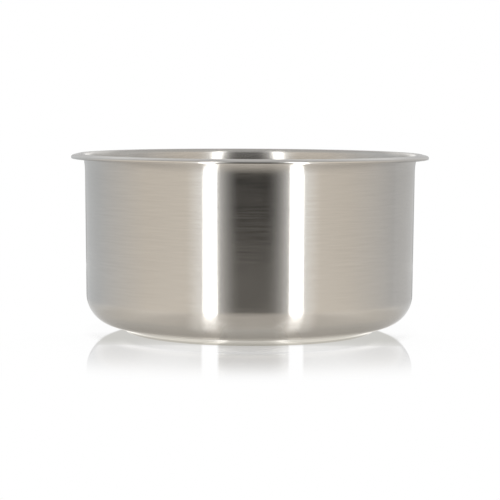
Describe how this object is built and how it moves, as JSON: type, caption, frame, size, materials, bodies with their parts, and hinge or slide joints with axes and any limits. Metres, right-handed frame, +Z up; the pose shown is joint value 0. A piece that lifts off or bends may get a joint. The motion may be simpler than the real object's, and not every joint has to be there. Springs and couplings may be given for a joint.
{
  "type": "stainless steel pot body",
  "caption": "Deep round stainless steel pot without handles, with an upright satin wall, a rounded foot, a turned-out pouring rim and a thick flat base around an aluminium core.",
  "frame": {"origin": "middle of the base's underside, where the pot stands on a table", "axes": "+Z up along the pot's axis; the pot is round about it, so X and Y are any two level directions"},
  "size_m": [0.2182, 0.2182, 0.1085],
  "materials": {
    "satin_steel": "satin, fine grain around the pot",
    "polished_steel": "polished",
    "core_aluminium": "plain, as stamped"
  },
  "bodies": {
    "root": {"pot_shell": "satin_steel", "core_disc": "core_aluminium", "base_cap": "polished_steel"}
  },
  "joints": []
}
